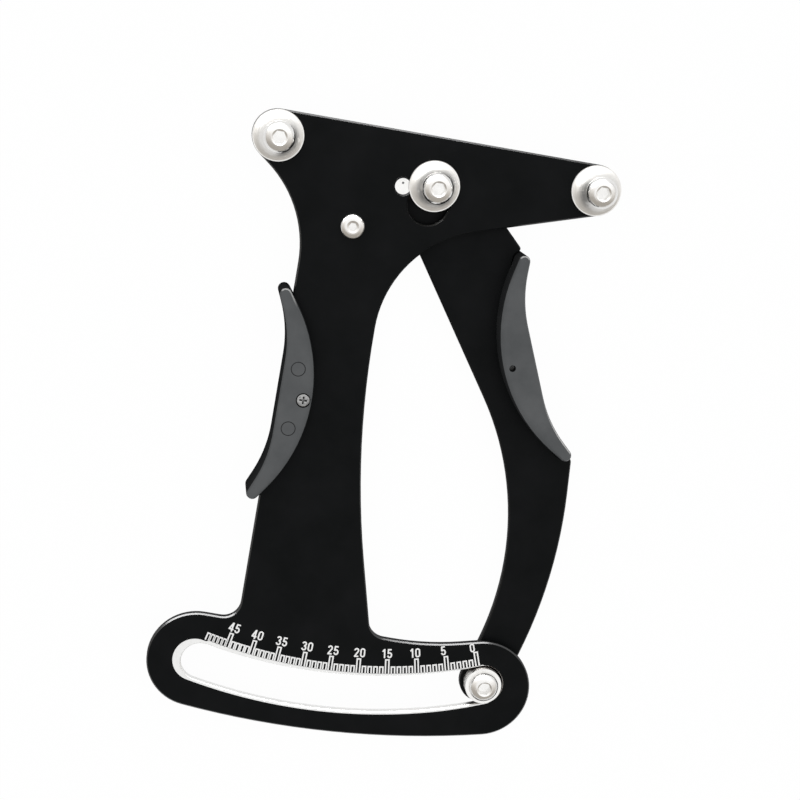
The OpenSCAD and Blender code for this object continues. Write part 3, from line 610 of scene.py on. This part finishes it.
def gripSteps(name):
    high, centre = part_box(name)[1], middleOf(name)

    def steps(tree, geometry):
        facing = addNode(tree, "GeometryNodeInputNormal").outputs[0]
        upright = mathNode(tree, "ABSOLUTE", axisOf(tree, facing, "Z"))
        side = mathNode(tree, "LESS_THAN", upright, edgeSet["wallTurn"])
        parts = addNode(tree, "GeometryNodeSetMaterialIndex", i0=geometry, Selection=side, Material_Index=1)
        place = addNode(tree, "GeometryNodeInputPosition").outputs[0]
        rise = mathNode(tree, "ABSOLUTE", mathNode(tree, "SUBTRACT", axisOf(tree, place, "Z"), centre.z))
        outer = mathNode(tree, "GREATER_THAN", rise, high.z - centre.z - edgeSet["rimNear"] * mm)
        along = mathNode(tree, "ABSOLUTE", mathNode(tree, "SUBTRACT", axisOf(tree, place, "Y"), centre.y))
        share = rangeNode(tree, along, (edgeSet["roundFrom"] * mm, edgeSet["roundFull"] * mm))
        sharp = edgeTurn(tree, "GREATER_THAN", edgeSet["roundAbove"])
        return storeWeight(tree, parts.outputs[0], sharp, mathNode(tree, "MULTIPLY", outer, share))

    return steps


def addTool(piece, tool):
    piece.modifiers.new(tool.name, "NODES").node_group = tool


def addBevel(piece, name, width, slotIndex):
    bevel = piece.modifiers.new(name, "BEVEL")
    bevel.limit_method = "WEIGHT"
    bevel.width = width * mm
    bevel.segments = 1
    bevel.material = slotIndex
    bevel.use_clamp_overlap = False


weldTool = geometryTool("weldFaces", weldSteps)
shadeTool = geometryTool("shadeByAngle", shadeSteps)
chamferTool = geometryTool("markChamfers", chamferSteps)

for name, edgeMaterial in (("main_plate", dialEdge), ("lever_plate", leverEdge)):
    plate = nodes[name]
    plate.data.materials.append(edgeMaterial)
    addTool(plate, weldTool)
    joined = plate.modifiers.new("joinFlats", "DECIMATE")
    joined.decimate_type = "DISSOLVE"
    joined.angle_limit = math.radians(edgeSet["dissolve"])
    addTool(plate, chamferTool)
    addBevel(plate, "chamfer", edgeSet["chamfer"], 1)
    addTool(plate, shadeTool)
for name in ("left_grip", "right_grip"):
    grip = nodes[name]
    grip.data.materials.append(gripShadedWall)
    grip.data.materials.append(gripRim)
    addTool(grip, weldTool)
    addTool(grip, geometryTool(name + "Edges", gripSteps(name)))
    addBevel(grip, "roundEdge", edgeSet["round"], 2)
    addTool(grip, shadeTool)
print("edges softened")


dialSet = {                                 # mm and degrees about the pivot
    "units": 50,
    "labelEvery": 5,
    "labelAngles": (19.13, 15.46, 11.85, 8.30, 4.83, 1.48, -1.75, -4.94, -8.03, -10.98, -13.46),
    "baseRadius": 171.12,                   # where the scale stands at 0
    "baseRise": 0.022,                      # and how much nearer per unit
    "ink": 0.04,                            # thickness of the print
    "bite": 0.01,                           # how far it goes into the plate
    "minorTall": 2.8,
    "majorTall": 5.45,
    "outline": 1.65,                        # width of one unit's outline
    "stroke": 0.5,
    "tickCorner": 1.42,                     # a corner's width, in strokes
    "foot": 0.05,                           # ticks and border overlap by this much
    "numberTall": 3.35,
    "numberGap": 0.4,
    "zeroTall": 3.15,
    "zeroGap": 0.02,
    "numberShift": (-0.95, 0.05, 0.25),     # mm beside its tick at 0, more per unit, and at most
    "numberWide": 0.54,                     # shares of a number's height from here on
    "numberPitch": 0.64,
    "oneNarrower": 0.06,
    "numberStroke": 0.155,
    "numberCorner": 1.35,
    "strokeLift": 0.002,                    # mm; keeps crossing strokes' tops apart
}


def unitAngle(count):
    every, angles = dialSet["labelEvery"], dialSet["labelAngles"]
    step = min(count // every, len(angles) - 2)
    return angles[step] + (angles[step + 1] - angles[step]) * (count / every - step)


def footRadius(degrees):
    first, last = dialSet["labelAngles"][0], dialSet["labelAngles"][-1]
    share = min(1.0, max(0.0, (first - degrees) / (first - last)))
    return dialSet["baseRadius"] - dialSet["units"] * dialSet["baseRise"] * share


def dialFrame(radius, degrees):
    turn = math.radians(degrees)
    spot = (pivot.x + radius * mm * math.sin(turn), pivot.y - radius * mm * math.cos(turn), 0)
    return Matrix.Translation(spot) @ Matrix.Rotation(turn, 4, "Z")


def addStrip(mesh, pairs, place, closed=False, lift=0.0):
    rings = []
    for pair in pairs:
        ring = []
        for x, y in pair:
            spot = place @ Vector((x * mm, y * mm, 0))
            ring += [mesh.verts.new((spot.x, spot.y, plateTop - dialSet["bite"] * mm)),
                     mesh.verts.new((spot.x, spot.y, plateTop + (dialSet["ink"] + lift) * mm))]
        rings.append(ring)
    spans = list(zip(rings, rings[1:])) + ([(rings[-1], rings[0])] if closed else [])
    for a, b in spans:
        for i, j in ((0, 1), (1, 3), (3, 2), (2, 0)):
            mesh.faces.new((a[i], a[j], b[j], b[i]))
    if not closed:
        for ring in (rings[0], rings[-1]):
            mesh.faces.new((ring[0], ring[1], ring[3], ring[2]))


def sideOf(way):
    return Vector((-way.y, way.x))


def strokePairs(points, width, corner, closed=False):
    pairs = []
    count = len(points)
    for i, point in enumerate(points):
        here = Vector(point)
        ways = []
        if i or closed:
            ways.append((here - Vector(points[i - 1])).normalized())
        if i < count - 1 or closed:
            ways.append((Vector(points[(i + 1) % count]) - here).normalized())
        side = sideOf((ways[0] + ways[-1]).normalized())
        spread = min(corner, 1 / max(0.3, abs(side.dot(sideOf(ways[0])))))
        pairs.append((here + side * width / 2 * spread, here - side * width / 2 * spread))
    return pairs


def arc(x, y, rx, ry, start, end, steps=14):
    turns = [math.radians(start + (end - start) * i / steps) for i in range(steps + 1)]
    return [(x + rx * math.cos(t), y + ry * math.sin(t)) for t in turns]


numberStrokes = {                           # one unit tall, pen's middle line, and whether it closes
    "0": [(arc(0.27, 0.72, 0.19, 0.205, 0, 180) + arc(0.27, 0.28, 0.19, 0.205, 180, 360), True)],
    "1": [([(0.31, 0.0), (0.31, 1.0)], False), ([(0.09, 0.72), (0.20, 0.80), (0.27, 0.93)], False)],
    "2": [(arc(0.27, 0.725, 0.185, 0.195, 178, -32) + [(0.11, 0.12)], False),
          ([(0.02, 0.078), (0.48, 0.078)], False)],
    "3": [(arc(0.26, 0.735, 0.175, 0.185, 172, -95), False),
          (arc(0.255, 0.29, 0.195, 0.21, 98, -172), False)],
    "4": [([(0.36, 0.0), (0.36, 1.0)], False), ([(0.0, 0.27), (0.52, 0.27)], False),
          ([(0.07, 0.27), (0.33, 0.96)], False)],
    "5": [([(0.46, 0.922), (0.135, 0.922), (0.105, 0.46)], False),
          (arc(0.26, 0.325, 0.195, 0.248, 142, -168), False)],
}


def makePiece(name, mesh, material):
    bmesh.ops.recalc_face_normals(mesh, faces=mesh.faces)
    data = bpy.data.meshes.new(name)
    mesh.to_mesh(data)
    mesh.free()
    data.materials.append(material)
    piece = bpy.data.objects.new(name, data)
    bpy.context.scene.collection.objects.link(piece)
    return piece


def printScale(settings):
    mesh = bmesh.new()
    stroke = settings["stroke"]
    half = (settings["outline"] - stroke) / 2
    for count in range(settings["units"] + 1):
        major = count % settings["labelEvery"] == 0 and count < settings["units"]
        top = settings["majorTall" if major else "minorTall"] - stroke / 2
        outline = [(-half, -settings["foot"]), (-half, top), (half, top), (half, -settings["foot"])]
        place = dialFrame(footRadius(unitAngle(count)), unitAngle(count))
        addStrip(mesh, strokePairs(outline, stroke, settings["tickCorner"]), place)
    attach(makePiece("dial_scale", mesh, dialInk), "dial_frame")


def printNumbers(settings):
    mesh = bmesh.new()
    start, more, most = settings["numberShift"]
    for count in range(0, settings["units"], settings["labelEvery"]):
        kind = "number" if count else "zero"
        tall, gap = settings[kind + "Tall"], settings[kind + "Gap"]
        degrees = unitAngle(count)
        place = dialFrame(footRadius(degrees) - settings["majorTall"] - gap, degrees)
        place = place @ Matrix.Translation((min(most, start + more * count) * mm, 0, 0))
        label = str(count)
        pitch = settings["numberPitch"] - (settings["oneNarrower"] if "1" in label else 0.0)
        wide = pitch * (len(label) - 1) + settings["numberWide"]
        for index, digit in enumerate(label):
            shift = -wide / 2 + pitch * index
            for number, (points, closed) in enumerate(numberStrokes[digit]):
                path = [((x + shift) * tall, y * tall) for x, y in points]
                if closed:                  # two arcs share their ends
                    path = [p for i, p in enumerate(path) if (Vector(p) - Vector(path[i - 1])).length > 1e-4]
                pairs = strokePairs(path, settings["numberStroke"] * tall, settings["numberCorner"], closed)
                addStrip(mesh, pairs, place, closed, settings["strokeLift"] * number)
    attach(makePiece("dial_numbers", mesh, dialInk), "dial_frame")


borderSet = {
    "bare": 0.24,                           # bare edge between the slot and the print
    "half": 7.65,                           # the print's outer edge, from the slot's middle line
    "shift": 2.0,                           # the print lies this far left of the slot
    "start": 7.38,                          # its outer edge at the right end
    "grow": 0.03,                           # and how much wider per step leftwards
    "least": 0.02,
    "steps": 60,
}


def printBorder(settings):
    half = slotSet["half"] + settings["bare"]
    wide, shift, least, steps = [settings[key] for key in ("half", "shift", "least", "steps")]
    middle, slotLeft, slotRight = slotSet["radius"], slotSet["left"], slotSet["right"]
    left, right = dialFrame(middle, slotLeft), dialFrame(middle, slotRight)

    def capPoint(place, degrees, outer):
        turn = math.radians(degrees)
        way = Vector((math.cos(turn), math.sin(turn)))
        reach = half
        if outer:
            reach = -shift * way.x + math.sqrt(max(0, wide ** 2 - (shift * way.y) ** 2))
            if place is left and abs(way.x * wide / max(1e-6, abs(way.y))) < shift:
                reach = wide / abs(way.y)
            reach = max(reach, half + least)
        spot = place @ Vector((way.x * reach * mm, way.y * reach * mm, 0))
        return (spot.x / mm, spot.y / mm)

    def sidePoint(degrees, radius):
        spot = dialFrame(radius, degrees).translation
        return (spot.x / mm, spot.y / mm)

    def cap(place, start, end, step):
        return [(capPoint(place, degrees, False), capPoint(place, degrees, True))
                for degrees in range(start, end, step)]

    pairs = cap(right, -66, -91, -4)        # the right end's lower corner
    for i in range(steps + 1):              # along the foot, leftwards
        degrees = slotRight + (slotLeft - slotRight) * i / steps
        reach = min(wide, settings["start"] + i * settings["grow"])
        pairs.append((sidePoint(degrees, middle + half), sidePoint(degrees, middle + reach)))
    pairs += cap(left, -96, -265, -6)       # round the left end
    for i in range(steps + 1):              # back under the scale
        degrees = slotLeft + (slotRight - slotLeft) * i / steps
        foot = min(footRadius(degrees) - dialSet["foot"], middle - half - least)
        pairs.append((sidePoint(degrees, middle - half), sidePoint(degrees, foot)))
    pairs += cap(right, 86, 65, -4)         # the right end's upper corner
    mesh = bmesh.new()
    addStrip(mesh, pairs, Matrix.Identity(4))
    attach(makePiece("dial_border", mesh, dialInk), "dial_frame")


printScale(dialSet)
printNumbers(dialSet)
printBorder(borderSet)
print("dial printed")


springSet = {                               # mm
    "wire": 0.9,
    "sides": 12,
    "coilRadius": 2.4,
    "coils": 7,
    "level": 3.4,                           # height of its middle line
    "spool": 4.2,                           # from the anchor to the anchor loop's end
    "tail": 3.6,                            # from the hook loop's end to the hook pin
    "anchorLoop": 3.5,
    "hookLoop": 2.3,
    "room": 1.05,                           # between a loop and the coils
    "open": 35,                             # degrees to each side that a loop stays open
    "pull": 1.1,                            # roundness of the bends between
    "steps": {"loop": 36, "coil": 28, "bend": 9},
    "blendFrom": 0.2,
    "blendTo": 0.8,
}


def springPath(settings, length):
    opened, pull, up = settings["open"], settings["pull"], Vector((0, 0, 1))
    loopSteps, bendSteps = settings["steps"]["loop"], settings["steps"]["bend"]
    coilSteps = settings["steps"]["coil"] * settings["coils"]
    start = settings["spool"] + settings["room"]
    end = length - settings["tail"] - settings["room"]

    def loopWay(degrees):
        turn = math.radians(degrees)
        return Vector((-math.sin(turn), math.cos(turn), 0))

    def loop(x, radius, start):
        turns = [math.radians(start + (360 - 2 * opened) * i / loopSteps) for i in range(loopSteps + 1)]
        return [Vector((x + radius * math.cos(turn), radius * math.sin(turn), 0)) for turn in turns]

    def coilPoint(share):
        turn = 2 * math.pi * settings["coils"] * share
        radius = settings["coilRadius"]
        return Vector((start + (end - start) * share, -radius * math.cos(turn), radius * math.sin(turn)))

    def bend(a, b, c, d):
        points = []
        for i in range(1, bendSteps + 1):
            share = i / (bendSteps + 1)
            rest = 1 - share
            points.append(rest ** 3 * a + 3 * rest ** 2 * share * b + 3 * rest * share ** 2 * c + share ** 3 * d)
        return points

    first = loop(0, settings["anchorLoop"], opened)
    last = loop(length, settings["hookLoop"], 180 + opened)
    coils = [coilPoint(i / coilSteps) for i in range(coilSteps + 1)]
    into = bend(first[-1], first[-1] + pull * loopWay(-opened), coils[0] - pull * up, coils[0])
    out = bend(coils[-1], coils[-1] + pull * up, last[0] - pull * loopWay(180 + opened), last[0])
    return first + into + coils + out + last


def windSpring(settings):
    anchor, hook = middleOf("spring_spool"), middleOf("spring_hook_pin")
    along = (hook - anchor).to_2d()
    turn = math.atan2(along.y, along.x)
    place = Matrix.Translation((anchor.x, anchor.y, settings["level"] * mm)) @ Matrix.Rotation(turn, 4, "Z")
    path = springPath(settings, along.length / mm)
    sides = settings["sides"]
    mesh = bmesh.new()
    side = Vector((0, 0, 1))
    rings = []
    for i, point in enumerate(path):
        way = (path[min(i + 1, len(path) - 1)] - path[max(i - 1, 0)]).normalized()
        side = (side - side.dot(way) * way).normalized()
        up = way.cross(side)
        ring = []
        for k in range(sides):
            angle = 2 * math.pi * k / sides
            spot = point + settings["wire"] / 2 * (math.cos(angle) * side + math.sin(angle) * up)
            ring.append(mesh.verts.new(place @ (spot * mm)))
        rings.append(ring)
    for a, b in zip(rings, rings[1:]):
        for k in range(sides):
            mesh.faces.new((a[k], a[(k + 1) % sides], b[(k + 1) % sides], b[k])).smooth = True
    mesh.faces.new(rings[0])
    mesh.faces.new(rings[-1])
    piece = makePiece("wound_spring", mesh, finishes["spring_steel"])
    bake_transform(piece)
    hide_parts("return_spring")


windSpring(springSet)
print("spring wound")
